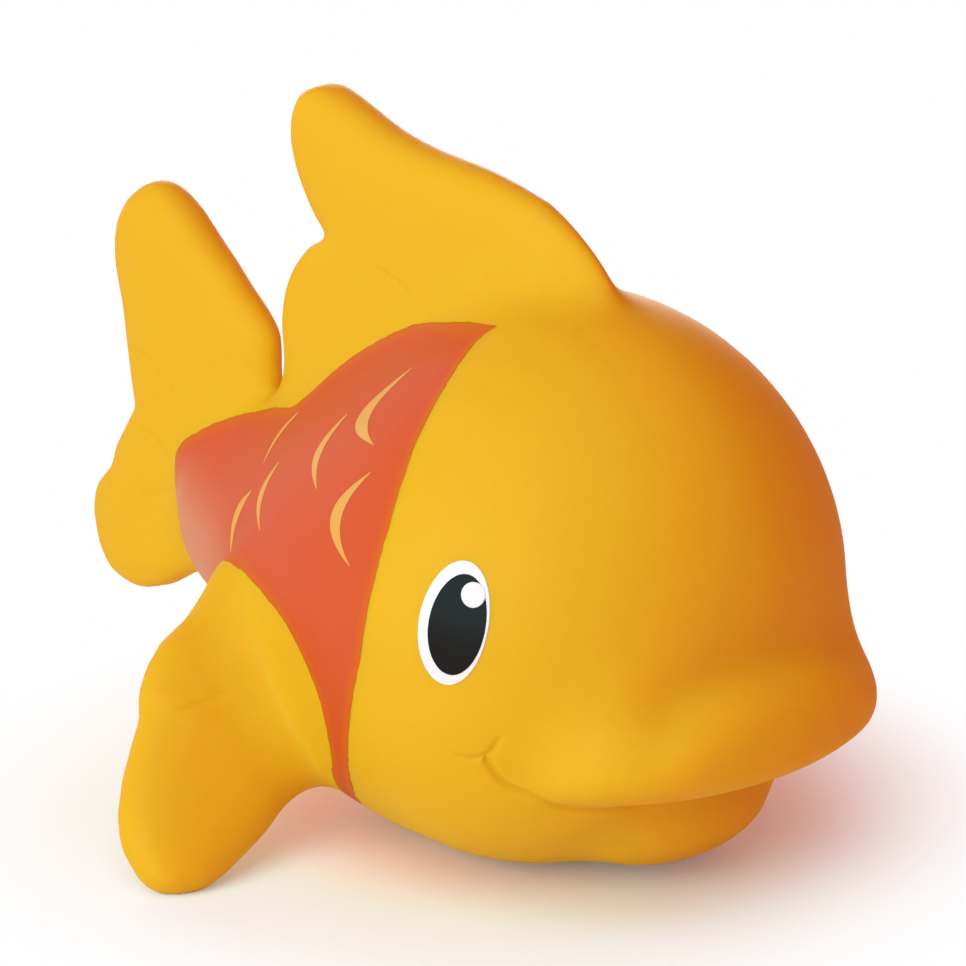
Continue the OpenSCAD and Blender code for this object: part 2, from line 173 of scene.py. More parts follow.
def on_face(tree, turn, height, side):
    """The place on the skin at a turn from the nose and a height, both in the head's own terms."""
    way = Vector((math.cos(math.radians(turn)), side * math.sin(math.radians(turn)), 0.0))
    axis = Vector((HEAD_X, 0.0, height * MM))
    return tree.ray_cast(axis + OUTSIDE * way, -way)[0]


def off_mouth_share(points, skin_tree):
    """None along the mouth's line, and all of it away from there."""
    marks = []
    for side in (-1, 1):
        line = [np.array(on_face(skin_tree, turn, height, side)) for turn, height in MOUTH_LINE]
        marks += [a + (b - a) * t for a, b in zip(line[:-1], line[1:]) for t in (0.0, 0.25, 0.5, 0.75)]
    away = np.min([np.linalg.norm(points - mark, axis=1) for mark in marks], axis=0)
    return smooth_step(away, *MOUTH_REACH)[:, None]


def evened(raw, links, rounds):
    """Faces evened out, with the form that they lose on the way given back."""
    points = relaxed(raw, links, rounds)
    for _ in range(2):
        points += relaxed(raw - points, links, rounds)
    return points


def filled(mesh, points, links, share, rounds):
    """Lets hollow corners rise to fillets, and nothing sink."""
    near = links[(share[links, 0] > 0.01).any(axis=1)]
    used, near = np.unique(near, return_inverse=True)
    near, pull = near.reshape(-1, 2), 0.5 * share[used]
    for k in range(rounds):
        if k % NORMALS_EVERY == 0:
            normals = normals_of(mesh, points)[used]
        rise = (to_neighbours(points[used], near) * normals).sum(1, keepdims=True)
        points[used] += pull * np.maximum(rise, 0.0) * normals
    return points


def curved(outline, sharp, steps=6, closed=True):
    """An outline with smooth curves through its points, apart from its sharp corners."""
    points = [np.asarray(p, float) for p in outline]
    count = len(points)
    line = []
    for k in range(count if closed else count - 1):
        a, b, c, d = (points[(k + shift) % count] for shift in (-1, 0, 1, 2))
        start = (c - a) / 2 if k not in sharp else c - b
        end = (d - b) / 2 if (k + 1) % count not in sharp else c - b
        for t in np.arange(steps) / steps:
            ease = 3 * t**2 - 2 * t**3
            line.append(b + (c - b) * ease + start * (t - 2 * t**2 + t**3) + end * (t**3 - t**2))
    if not closed:
        line.append(points[-1])
    return np.array(line)


# The valley over the lip and the lip's crest: the rise and half width of each in mm, then points along
# it from the cheek to the nose, on the right side
LIP_FORMS = [
    (-1.2, 3.2, [(45.9, -17.5, 22.1), (47.7, -14.0, 23.8), (49.0, -9.3, 25.4),
                 (49.7, -4.5, 26.4), (50.0, 0.0, 26.5)]),
    (0.5, 3.0, [(49.0, -15.5, 18.9), (50.1, -13.4, 20.1), (51.1, -10.2, 21.3),
                (51.9, -5.2, 22.5), (52.2, 0.0, 22.7)]),
]
LIP_STARTS = (0.0, 0.35)


def formed_lip(mesh, points):
    """Deepens the valley over the lip, and rounds the lip's crest."""
    normals = normals_of(mesh, points)
    shift = np.zeros((len(points), 1))
    for rise, width, line in LIP_FORMS:
        line = curved([(x * MM, y * MM, z * MM) for x, y, z in line], (0, len(line) - 1), closed=False)
        fade = smooth_step(np.linspace(0, 1, len(line)), *LIP_STARTS)
        share = np.max([
            full * np.exp(-((np.linalg.norm(points - mark * (1, side, 1), axis=1) / (width * MM)) ** 2))
            for side in (1, -1) for mark, full in zip(line, fade)
        ], axis=0)
        shift += rise * MM * share[:, None]
    return points + shift * normals


def smooth_skin():
    """The whole skin: evened, filled to fillets, its fins' size given back, and its lip formed."""
    mesh = remeshed_body()
    links = links_of(mesh)
    raw = np.zeros(len(mesh.vertices) * 3)
    mesh.vertices.foreach_get("co", raw)
    raw = raw.reshape(-1, 3)
    free = cut_pit_share(raw)
    points = evened(raw, links, BODY_ROUNDS)
    normals_of(mesh, points)
    built = bmesh.new()
    built.from_mesh(mesh)
    skin_tree = BVHTree.FromBMesh(built)
    built.free()
    on_hollow = near_hollow_share(points, skin_tree)
    points += (1 - on_hollow) * (evened(raw, links, FIN_ROUNDS) - points)
    points = raw + free * (points - raw)

    # The corners over the moulding's hollow fill, least in the soft valley over the lip's front
    turn = np.degrees(np.arctan2(np.abs(points[:, 1]), points[:, 0] - HEAD_X))[:, None]
    high = points[:, 2:]
    soft = on_hollow * free * off_mouth_share(points, skin_tree)
    off_front = 0.4 + 0.6 * smooth_step(turn, *LIP_FRONT_TURN)
    points = filled(mesh, points, links, soft * off_front, FILLET_ROUNDS)
    cheek = between(turn, *CHEEK_TURNS) * between(high, *CHEEK_HEIGHTS)
    points = filled(mesh, points, links, soft * cheek, CHEEK_ROUNDS)

    on_fins = (1 - on_hollow) * (1 - smooth_step(points[:, :1], *FINS_END))
    points += FIN_GROWTH * on_fins * free * normals_of(mesh, points)
    off_mouth = off_mouth_share(points, skin_tree)
    points += on_hollow * free * off_mouth * (relaxed(points, links, LAST_ROUNDS) - points)

    # The fillets at the roots of the side fins run out evenly
    root = between(np.abs(points[:, 1:2]), *FIN_ROOT_WIDTHS)
    root = root * (1 - smooth_step(points[:, :1], *FIN_ROOT_END)) * free
    points = filled(mesh, points, links, root, FIN_ROOT_FILL_ROUNDS)
    points += root * (relaxed(points, links, FIN_ROOT_ROUNDS) - points)
    points = formed_lip(mesh, points)
    points[:, 2] = np.maximum(points[:, 2], 0.0)
    normals_of(mesh, points)
    return mesh


# A row gives a line pressed into the skin: its depth and half width in mm, how far its ends fade, then
# its points along it, on the right side
PRESSED_LINES = [
    (0.50, 0.45, (0.4, 0.0), [(32.7, -24.5, 18.3), (33.9, -22.9, 15.4), (36.4, -21.3, 13.7), (37.9, -18.2, 12.4),
                              (40.6, -13.7, 11.9), (43.0, -8.0, 11.9), (44.0, 0.0, 12.0)]),
    (0.26, 0.34, (0.3, 2.5), [(32.7, -24.5, 18.3), (31.6, -25.0, 18.0), (30.3, -25.5, 18.2)]),
    (0.26, 0.34, (0.3, 2.5), [(32.7, -24.5, 18.3), (33.6, -24.2, 19.2), (34.4, -24.0, 20.6)]),
    (0.15, 0.30, (2.0, 2.0), [(-4.2, -3.4, 56.9), (-1.2, -3.4, 56.2), (1.6, -3.6, 54.9)]),
    (0.15, 0.30, (2.0, 2.0), [(-43.2, -2.4, 39.6), (-40.7, -2.7, 39.1), (-38.1, -2.9, 37.7), (-36.3, -3.0, 35.8)]),
    (0.13, 0.30, (2.0, 2.0), [(-43.9, -2.5, 31.6), (-41.4, -2.9, 30.6), (-38.0, -3.1, 29.6)]),
    (0.13, 0.30, (2.0, 2.0), [(-43.7, -2.9, 23.6), (-41.8, -3.0, 23.4), (-40.0, -3.1, 23.9), (-36.5, -3.3, 25.0)]),
    (0.13, 0.30, (2.0, 2.0), [(-3.0, -33.0, 16.1), (-2.0, -30.5, 16.5), (-1.3, -27.5, 17.1)]),
]
PRESS_MARGIN = 1.6 * MM
PRESS_STEPS = 36
SHORTEST_FADE = 0.001


def press_lines(mesh):
    """Presses the mouth's line and the fins' creases into the skin, on finer faces along them."""
    skin = bmesh.new()
    skin.from_mesh(mesh)
    tree = BVHTree.FromBMesh(skin)
    marks, presses = [], []
    for depth, width, fades, line in PRESSED_LINES:
        line = curved([(x * MM, y * MM, z * MM) for x, y, z in line], (0, len(line) - 1), PRESS_STEPS, closed=False)
        run = np.concatenate([[0.0], np.cumsum(np.linalg.norm(np.diff(line, axis=0), axis=1))])
        start, end = (max(fade, SHORTEST_FADE) * MM for fade in fades)
        ends = smooth_step(run, -start, start) * smooth_step(run[-1] - run, -end, end)
        for side in (1, -1):
            for place, share in zip(line, ends):
                marks.append(tree.find_nearest(Vector((place[0], side * place[1], place[2])))[0])
                presses.append((depth * MM * share, width * MM))
    near = kdtree.KDTree(len(marks))
    for k, mark in enumerate(marks):
        near.insert(mark, k)
    near.balance()
    close = {v for v in skin.verts if near.find(v.co)[2] < PRESS_MARGIN}
    edges = [e for e in skin.edges if e.verts[0] in close and e.verts[1] in close]
    bmesh.ops.subdivide_edges(skin, edges=edges, cuts=2, use_grid_fill=True, smooth=0.6)
    skin.normal_update()
    moves = []
    for vert in skin.verts:
        _, k, away = near.find(vert.co)
        if away < PRESS_MARGIN:
            depth, width = presses[k]
            moves.append((vert, vert.normal * depth * math.exp(-((away / width) ** 2))))
    for vert, move in moves:
        vert.co -= move
    skin.to_mesh(mesh)
    skin.free()


skin_mesh = smooth_skin()
press_lines(skin_mesh)
skin_mesh.shade_smooth()
vinyl_skin = bpy.data.objects.new("vinyl_skin", skin_mesh)
bpy.context.scene.collection.objects.link(vinyl_skin)


def new_material(name):
    material = bpy.data.materials.new(name)
    material.use_nodes = True
    nodes = material.node_tree.nodes
    nodes.clear()
    shader = nodes.new("ShaderNodeBsdfPrincipled")
    output = nodes.new("ShaderNodeOutputMaterial")
    material.node_tree.links.new(shader.outputs["BSDF"], output.inputs["Surface"])
    return material, shader


def group_socket(group, name, direction, kind, value=None):
    socket = group.interface.new_socket(name=name, in_out=direction, socket_type=kind)
    if value is not None:
        socket.default_value = value


def math_node(tree, operation, first, second=None, third=None):
    """A math node fed with numbers or with other nodes' outputs."""
    node = tree.nodes.new("ShaderNodeMath")
    node.operation = operation
    for place, value in enumerate((first, second, third)):
        if value is None:
            continue
        if isinstance(value, (int, float)):
            node.inputs[place].default_value = value
        else:
            tree.links.new(value, node.inputs[place])
    return node.outputs[0]


def range_node(tree, value, start, end):
    """Goes smoothly from 0 at the start to 1 at the end."""
    node = tree.nodes.new("ShaderNodeMapRange")
    node.interpolation_type = "SMOOTHSTEP"
    node.inputs["From Min"].default_value = start
    node.inputs["From Max"].default_value = end
    tree.links.new(value, node.inputs["Value"])
    return node.outputs["Result"]


def blend_node(tree, share):
    """A mix of two colours, with its inputs A and B left to be set."""
    node = tree.nodes.new("ShaderNodeMix")
    node.data_type = "RGBA"
    tree.links.new(share, node.inputs["Factor"])
    return node


def moulded_grain_group():
    """The fine even grain of a mould's sandblasted wall, with slow changes of tone."""
    group = bpy.data.node_groups.new("moulded_grain", "ShaderNodeTree")
    group_socket(group, "Colour", "INPUT", "NodeSocketColor", (0.8, 0.8, 0.8, 1.0))
    group_socket(group, "Deep colour", "INPUT", "NodeSocketColor", (0.7, 0.7, 0.7, 1.0))
    group_socket(group, "Grain size", "INPUT", "NodeSocketFloat", 0.25)
    group_socket(group, "Roughness", "INPUT", "NodeSocketFloat", 0.5)
    group_socket(group, "Colour", "OUTPUT", "NodeSocketColor")
    group_socket(group, "Roughness", "OUTPUT", "NodeSocketFloat")
    group_socket(group, "Height", "OUTPUT", "NodeSocketFloat")
    entry = group.nodes.new("NodeGroupInput")
    leave = group.nodes.new("NodeGroupOutput")
    place = group.nodes.new("ShaderNodeTexCoord")
    in_mm = group.nodes.new("ShaderNodeVectorMath")
    in_mm.operation = "SCALE"
    in_mm.inputs["Scale"].default_value = 1 / MM
    group.links.new(place.outputs["Object"], in_mm.inputs[0])

    cloudy = group.nodes.new("ShaderNodeTexNoise")
    cloudy.inputs["Scale"].default_value = 0.045
    cloudy.inputs["Detail"].default_value = 3.0
    group.links.new(in_mm.outputs[0], cloudy.inputs["Vector"])
    grain = group.nodes.new("ShaderNodeTexNoise")
    grain.inputs["Detail"].default_value = 2.0
    grain.inputs["Roughness"].default_value = 0.6
    group.links.new(in_mm.outputs[0], grain.inputs["Vector"])
    group.links.new(math_node(group, "DIVIDE", 1.0, entry.outputs["Grain size"]), grain.inputs["Scale"])

    share = math_node(group, "MULTIPLY_ADD", cloudy.outputs["Fac"], 1.6, -0.3)
    speckle = math_node(group, "MULTIPLY_ADD", grain.outputs["Fac"], 0.5, -0.25)
    tone = blend_node(group, math_node(group, "ADD", share, speckle))
    group.links.new(entry.outputs["Colour"], tone.inputs["A"])
    group.links.new(entry.outputs["Deep colour"], tone.inputs["B"])
    group.links.new(tone.outputs["Result"], leave.inputs["Colour"])

    uneven = math_node(group, "MULTIPLY_ADD", grain.outputs["Fac"], 0.12, -0.06)
    group.links.new(math_node(group, "ADD", entry.outputs["Roughness"], uneven), leave.inputs["Roughness"])
    group.links.new(grain.outputs["Fac"], leave.inputs["Height"])
    return group


moulded_grain = moulded_grain_group()


GRAIN_HEIGHT = 0.05 * MM


def grained(material, shader, colour, deep_colour, grain_size, roughness, bump):
    """Feeds a shader its colour, roughness and grain, and returns the grain."""
    tree = material.node_tree
    grain = tree.nodes.new("ShaderNodeGroup")
    grain.node_tree = moulded_grain
    grain.inputs["Colour"].default_value = (*colour, 1.0)
    grain.inputs["Deep colour"].default_value = (*deep_colour, 1.0)
    grain.inputs["Grain size"].default_value = grain_size
    grain.inputs["Roughness"].default_value = roughness
    relief = tree.nodes.new("ShaderNodeBump")
    relief.inputs["Strength"].default_value = bump
    relief.inputs["Distance"].default_value = GRAIN_HEIGHT
    tree.links.new(grain.outputs["Colour"], shader.inputs["Base Color"])
    tree.links.new(grain.outputs["Roughness"], shader.inputs["Roughness"])
    tree.links.new(grain.outputs["Height"], relief.inputs["Height"])
    tree.links.new(relief.outputs["Normal"], shader.inputs["Normal"])
    return grain


VINYL = (0.78, 0.45, 0.013)
VINYL_DEEP = (0.77, 0.43, 0.011)


def soft_vinyl():
    material, shader = new_material("soft_vinyl")
    grained(material, shader, VINYL, VINYL_DEEP, 0.22, 0.60, 0.25)
    shader.inputs["Subsurface Weight"].default_value = 0.5
    shader.inputs["Subsurface Radius"].default_value = (1.0, 0.35, 0.10)
    shader.inputs["Subsurface Scale"].default_value = 2.5 * MM
    shader.inputs["Specular IOR Level"].default_value = 0.15
    return material


skin_mesh.materials.append(soft_vinyl())
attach(vinyl_skin, "toy")
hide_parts("vinyl_body")

# The coral coat is sprayed through a mask over the back and the flanks, up to the roots of the fins.
# Every coat of paint is a film cut from the skin along its outline, a little proud of it. Outlines are
# given as shares of the body's length and height, from the end of its stem and from below it.
STEM_END = -35.96 * MM
STEM_LOW = -0.5 * MM
BODY_LENGTH = 86 * MM
BODY_HEIGHT = 58.4 * MM
FILM_MARGIN = 2.5 * VOXEL
FILM_SUNK = 0.2 * MM
COAT_LIFT = 0.05 * MM
COAT_OUTLINE = [
    (0.634, 0.974), (0.625, 0.955), (0.628, 0.938), (0.638, 0.882), (0.646, 0.811), (0.654, 0.744), (0.658, 0.666),
    (0.655, 0.582), (0.644, 0.472), (0.620, 0.369), (0.593, 0.268), (0.556, 0.163), (0.525, 0.095),
    (0.498, 0.085), (0.509, 0.120), (0.520, 0.165), (0.538, 0.218), (0.549, 0.276), (0.546, 0.333), (0.530, 0.373),
    (0.504, 0.407), (0.464, 0.439), (0.417, 0.456), (0.377, 0.467), (0.326, 0.474), (0.280, 0.464),
    (0.220, 0.400), (0.165, 0.345), (0.126, 0.300), (0.088, 0.270),
    (0.050, 0.330), (0.028, 0.385), (0.012, 0.435), (0.004, 0.475), (0.003, 0.510), (0.014, 0.539), (0.040, 0.566),
    (0.099, 0.614), (0.156, 0.647), (0.202, 0.674), (0.258, 0.700), (0.290, 0.736), (0.319, 0.780),
    (0.366, 0.834), (0.435, 0.895), (0.475, 0.919), (0.517, 0.936), (0.575, 0.958),
]
SHARP_CORNERS = (0, 12, 13, 29)


def on_body(along, up):
    return np.array((STEM_END + along * BODY_LENGTH, STEM_LOW + up * BODY_HEIGHT))


def depth_inside(points, outline):
    """How far each point lies inside a closed outline, or outside it as a depth below zero."""
    nearest = np.full(len(points), np.inf)
    inside = np.zeros(len(points), bool)
    for a, b in zip(outline, np.roll(outline, -1, axis=0)):
        way = b - a
        t = np.clip(((points - a) @ way) / (way @ way), 0, 1)
        nearest = np.minimum(nearest, np.linalg.norm(points - a - t[:, None] * way, axis=1))
        beside = (a[1] > points[:, 1]) != (b[1] > points[:, 1])
        if way[1]:
            inside ^= beside & (points[:, 0] < way[0] * (points[:, 1] - a[1]) / way[1] + a[0])
    return np.where(inside, nearest, -nearest)


def paint_film(name, depth_of, lift, fine, side):
    """A film over the part of the skin where depth_of gives a depth above zero, on one side of the fish."""
    film = bmesh.new()
    film.from_mesh(skin_mesh)
    depth_layer = film.verts.layers.float.new("depth")
    points = np.array([v.co[:] for v in film.verts])
    depths = depth_of(points)
    depths[points[:, 1] * side < 0] = -1.0
    for vert, depth in zip(film.verts, depths):
        vert[depth_layer] = depth
    bmesh.ops.delete(film, geom=[v for v in film.verts if v[depth_layer] < -FILM_MARGIN], context="VERTS")
    if fine:
        bmesh.ops.subdivide_edges(film, edges=film.edges, cuts=fine, use_grid_fill=True, smooth=0.8)
        depths = depth_of(np.array([v.co[:] for v in film.verts]))
        for vert, depth in zip(film.verts, depths):
            vert[depth_layer] = depth

    # The film is cut where the depth is zero
    edge_verts = []
    for edge in list(film.edges):
        a, b = edge.verts
        if a[depth_layer] * b[depth_layer] < 0:
            share = a[depth_layer] / (a[depth_layer] - b[depth_layer])
            _, vert = bmesh.utils.edge_split(edge, a, share)
            vert[depth_layer] = 0.0
            edge_verts.append(vert)
    bmesh.ops.connect_verts(film, verts=edge_verts)
    outside = [f for f in film.faces if sum(v[depth_layer] for v in f.verts) < 0]
    bmesh.ops.delete(film, geom=outside, context="FACES")
    bmesh.ops.triangulate(film, faces=[f for f in film.faces if len(f.verts) > 4])

    # The film is lifted off the skin, and its rim goes down into it
    film.normal_update()
    normals = {v: v.normal.copy() for v in film.verts}
    for vert, normal in normals.items():
        vert.co += normal * lift
    rim = [e for e in film.edges if e.is_boundary]
    sides = bmesh.ops.extrude_edge_only(film, edges=rim)
    lowered = dict.fromkeys(g for g in sides["geom"] if isinstance(g, bmesh.types.BMVert))
    for vert in lowered:
        above = next(e.other_vert(vert) for e in vert.link_edges if e.other_vert(vert) not in lowered)
        vert.co -= normals[above] * (lift + FILM_SUNK)
    mesh = bpy.data.meshes.new(name)
    film.to_mesh(mesh)
    film.free()
    mesh.shade_smooth()
    piece = bpy.data.objects.new(name, mesh)
    bpy.context.scene.collection.objects.link(piece)
    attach(piece, "toy")
    return piece


coat_line = curved([on_body(*p) for p in COAT_OUTLINE], SHARP_CORNERS)

# The mask's edge is a little rough, more so low down, and the belly and the side fins stay bare
ROUGH_WITHIN, ROUGH_SIZE = 1.5 * MM, 0.9 * MM
ROUGH_HIGH, ROUGH_LOW, ROUGH_BELOW = 0.10 * MM, 0.22 * MM, 26 * MM
BELLY_BEHIND, BELLY_WIDE, BELLY_HIGH = -22 * MM, 12 * MM, 20 * MM
FLANK_WIDE = 29.5 * MM


def coat_depth(points):
    depths = depth_inside(points[:, [0, 2]], coat_line)
    for k in np.flatnonzero(np.abs(depths) < ROUGH_WITHIN):
        rough = ROUGH_HIGH + ROUGH_LOW * max(0.0, 1.0 - points[k][2] / ROUGH_BELOW)
        depths[k] += rough * noise.noise(Vector(points[k]) / ROUGH_SIZE)
    x, y, z = points[:, 0], np.abs(points[:, 1]), points[:, 2]
    belly = (x > BELLY_BEHIND) & (y < BELLY_WIDE) & (z < BELLY_HIGH)
    depths[belly | (y > FLANK_WIDE)] = -1.0
    return depths


CORAL = (0.66, 0.094, 0.024)
CORAL_DEEP = (0.64, 0.086, 0.020)

# More orange inside the mask's edge, partly thin paint where the vinyl shows through, partly a painted reflection
# of the yellow vinyl beside it. Pale towards the rear and low on the stem, where the coat is seen edge-on: a
# painted sheen, in place of the gloss from a lamp behind.
CORAL_THIN_AND_REFLECTION = (0.68, 0.130, 0.008)
EDGE_BAND = 1.5 * MM
CORAL_PAINTED_SHEEN = (0.66, 0.29, 0.17)
PAINTED_SHEEN_FACING = (0.30, 0.85)
PAINTED_SHEEN_REARWARD = (-10 * MM, -32 * MM)
PAINTED_SHEEN_DOWNWARD = (33 * MM, 23 * MM)


def coral_paint():
    material, shader = new_material("coral_paint")
    grain = grained(material, shader, CORAL, CORAL_DEEP, 0.22, 0.48, 0.2)
    tree = material.node_tree
    # More orange over a narrow band inside the mask's edge: thin paint, with a painted reflection of the vinyl
    # beside it
    reach = tree.nodes.new("ShaderNodeAttribute")
    reach.attribute_name = "depth"
    thin_and_reflection = blend_node(tree, range_node(tree, reach.outputs["Fac"], 0.0, EDGE_BAND))
    thin_and_reflection.inputs["A"].default_value = (*CORAL_THIN_AND_REFLECTION, 1.0)
    tree.links.new(grain.outputs["Colour"], thin_and_reflection.inputs["B"])

    # A painted sheen: the coat turns pale where it is seen edge-on, towards the rear and low on the stem
    edge_on = tree.nodes.new("ShaderNodeLayerWeight")
    edge_on.inputs["Blend"].default_value = 0.5
    place = tree.nodes.new("ShaderNodeTexCoord")
    axes = tree.nodes.new("ShaderNodeSeparateXYZ")
    tree.links.new(place.outputs["Object"], axes.inputs[0])
    rearward = range_node(tree, axes.outputs["X"], *PAINTED_SHEEN_REARWARD)
    downward = range_node(tree, axes.outputs["Z"], *PAINTED_SHEEN_DOWNWARD)
    facing = range_node(tree, edge_on.outputs["Facing"], *PAINTED_SHEEN_FACING)
    painted_sheen_area = math_node(tree, "MULTIPLY", rearward, downward)
    coat = blend_node(tree, math_node(tree, "MULTIPLY", facing, painted_sheen_area))
    tree.links.new(thin_and_reflection.outputs["Result"], coat.inputs["A"])
    coat.inputs["B"].default_value = (*CORAL_PAINTED_SHEEN, 1.0)
    tree.links.new(coat.outputs["Result"], shader.inputs["Base Color"])
    shader.inputs["Specular IOR Level"].default_value = 0.2
    shader.inputs["Subsurface Weight"].default_value = 0.25
    shader.inputs["Subsurface Radius"].default_value = (1.0, 0.28, 0.06)
    shader.inputs["Subsurface Scale"].default_value = 3 * MM
    return material


coral = coral_paint()
for side, side_name in ((-1, "right"), (1, "left")):
    coat = paint_film("coral_film_" + side_name, coat_depth, COAT_LIFT, 1, side)
    coat.data.materials.append(coral)
    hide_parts("coral_coat_" + side_name)

# The scale marks are pad-printed over the coral in pale orange, six crescents on each flank. A row gives
# a crescent's upper and lower end on the body, its swell to the rear and its width, as shares of its span.
MARK_LIFT = 0.09 * MM
MARKS = [
    (0.539, 0.883, 0.572, 0.783, 0.87, 0.38),
    (0.460, 0.785, 0.486, 0.676, 0.51, 0.22),
    (0.592, 0.752, 0.611, 0.602, 0.59, 0.23),
    (0.293, 0.709, 0.277, 0.616, 0.22, 0.10),
    (0.331, 0.651, 0.356, 0.546, 0.48, 0.21),
    (0.275, 0.576, 0.243, 0.438, 0.23, 0.15),
]
MARK_STEPS = 16


def crescent(top_along, top_up, low_along, low_up, swell, width):
    top, low = on_body(top_along, top_up), on_body(low_along, low_up)
    across = np.array((low[1] - top[1], top[0] - low[0]))
    t = np.linspace(0, 1, MARK_STEPS + 1)[:, None]
    arc = np.sin(np.pi * t)
    outer = top + t * (low - top) + swell * arc * across
    inner = top + t * (low - top) + (swell - width) * arc * across
    return np.concatenate([outer, inner[-2:0:-1]])


crescents = [crescent(*row) for row in MARKS]


def marks_depth(points):
    flat = points[:, [0, 2]]
    return np.max([depth_inside(flat, outline) for outline in crescents], axis=0)


PALE_ORANGE = (0.80, 0.40, 0.065)
PALE_ORANGE_DEEP = (0.77, 0.37, 0.055)


def mark_paint():
    material, shader = new_material("pale_orange_paint")
    grained(material, shader, PALE_ORANGE, PALE_ORANGE_DEEP, 0.2, 0.45, 0.15)
    return material


pale_orange = mark_paint()
for side, side_name in ((-1, "right"), (1, "left")):
    marks = paint_film("scale_print_" + side_name, marks_depth, MARK_LIFT, 3, side)
    marks.data.materials.append(pale_orange)
    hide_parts("scale_marks_" + side_name)

# The eyes are pad-printed in three layers: a white oval, a black pupil and a round white glint. They
# look out from the cheeks, turned forward and a little up.
EYE_ALONG, EYE_HEIGHT = 0.772, 0.558
EYE_TURN, EYE_UP, EYE_LEAN = 21.0, 7.8, 9.0
WHITE_SIZE = (7.4 * MM, 12.7 * MM)
PUPIL_SIZE = (6.0 * MM, 10.3 * MM)
GLINT_SIZE = (2.5 * MM, 2.5 * MM)
PUPIL_AT = (0.44 * MM, 0.0)
GLINT_AT = (1.40 * MM, 3.40 * MM)
EYE_LIFTS = (0.07 * MM, 0.11 * MM, 0.15 * MM)
CHEEK_OUT = 0.93 * 28.7 * MM
BEHIND_EYE = 6 * MM


def eye_depth(size, at, side):
    """What gives the depth of points inside an oval of this size on one eye, at a place from its middle."""
    middle = on_body(EYE_ALONG, EYE_HEIGHT)
    turn = Matrix.Rotation(math.radians(EYE_TURN), 3, "Z")
    tip_up = Matrix.Rotation(math.radians(90 - EYE_UP), 3, "X")
    lean = Matrix.Rotation(math.radians(-EYE_LEAN), 3, "Z")
    axes = np.array(turn @ tip_up @ lean)

    def depth_of(points):
        local = points * (1, -side, 1) - (middle[0], 0, middle[1])
        local[:, 1] += CHEEK_OUT
        flat = local @ axes
        depths = (1 - np.linalg.norm((flat[:, :2] - at) * 2 / size, axis=1)) * min(size) / 2
        depths[flat[:, 2] < -BEHIND_EYE] = -1.0
        return depths

    return depth_of


def eye_paint(name, colour, deep_colour, roughness):
    material, shader = new_material(name)
    grained(material, shader, colour, deep_colour, 0.3, roughness, 0.15)
    shader.inputs["Specular IOR Level"].default_value = 0.08
    return material


EYE_WHITE, EYE_WHITE_DEEP = (0.86, 0.845, 0.88), (0.82, 0.80, 0.84)
EYE_BLACK, EYE_BLACK_DEEP = (0.010, 0.009, 0.009), (0.013, 0.012, 0.012)
white = eye_paint("white_paint", EYE_WHITE, EYE_WHITE_DEEP, 0.38)
black = eye_paint("black_paint", EYE_BLACK, EYE_BLACK_DEEP, 0.30)
for side, side_name in ((-1, "right"), (1, "left")):
    for part, size, at, lift, paint, slot in (
        ("white", WHITE_SIZE, (0.0, 0.0), EYE_LIFTS[0], white, "white_paint"),
        ("pupil", PUPIL_SIZE, PUPIL_AT, EYE_LIFTS[1], black, "black_paint"),
        ("glint", GLINT_SIZE, GLINT_AT, EYE_LIFTS[2], white, "white_paint"),
    ):
        layer = paint_film(f"eye_{part}_print_{side_name}", eye_depth(size, at, side), lift, 3, side)
        layer.data.materials.append(paint)
        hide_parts(f"eye_{part}_{side_name}")

# The squeaker is a plain milky plastic housing, snapped into the belly. In its bore a slotted seat and a
# wedge of the same plastic pinch the reed, a strip of thin rolled brass. All four keep their CAD shapes.
MILKY, MILKY_DEEP = (0.76, 0.74, 0.68), (0.70, 0.68, 0.62)
BRASS, BRASS_DEEP = (0.62, 0.40, 0.13), (0.55, 0.34, 0.11)


def squeaker_plastic():
    material, shader = new_material("squeaker_plastic")
    grained(material, shader, MILKY, MILKY_DEEP, 0.4, 0.45, 0.2)
    shader.inputs["Subsurface Weight"].default_value = 0.2
    shader.inputs["Subsurface Radius"].default_value = (1.0, 0.8, 0.6)
    shader.inputs["Subsurface Scale"].default_value = 1 * MM
    return material


def reed_brass():
    material, shader = new_material("reed_brass")
    grained(material, shader, BRASS, BRASS_DEEP, 0.15, 0.32, 0.2)
    shader.inputs["Metallic"].default_value = 1.0
    return material


milky = squeaker_plastic()
for node, finish in (
    ("squeaker_housing", milky), ("reed_seat", milky), ("reed_wedge", milky), ("reed_tongue", reed_brass()),
):
    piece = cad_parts[node]
    if not piece.material_slots:
        piece.data.materials.append(None)
    for place in piece.material_slots:
        place.material = finish

# The toy stands on a plain white floor in soft light. The floor goes over into the white background away from the
# toy, and is clear when looked at from below. Close to the toy its colour is warm, a painted glow of light bounced
# off the toy into its shadow. Further out it is tinted cool, painted to take the room's warm light out of the
# shadow there.
FLOOR_SIZE = 3.0
FLOOR_CENTRE = (8 * MM, 0.0, 0.0)
FLOOR_FADE = (30 * MM, 62 * MM)
PAINTED_BOUNCE_FADE = (14 * MM, 34 * MM)
FLOOR_LIGHT_BACK = (0.95, 0.90, 0.86)
FLOOR_PAINTED_BOUNCE, FLOOR_PAINTED_COOL = (1.0, 0.68, 0.55), (0.84, 0.98, 0.98)
FLOOR_GLOW, GLOW_STRENGTH = (0.9, 0.9, 0.9), 0.13


def glowing(tree, colour, strength):
    node = tree.nodes.new("ShaderNodeEmission")
    node.inputs["Color"].default_value = (*colour, 1.0)
    node.inputs["Strength"].default_value = strength
    return node.outputs[0]


def either(tree, share, first, second):
    """The first shader where the share is 0, and the second where it is 1."""
    node = tree.nodes.new("ShaderNodeMixShader")
    for place, output in enumerate((share, first, second)):
        tree.links.new(output, node.inputs[place])
    return node.outputs[0]


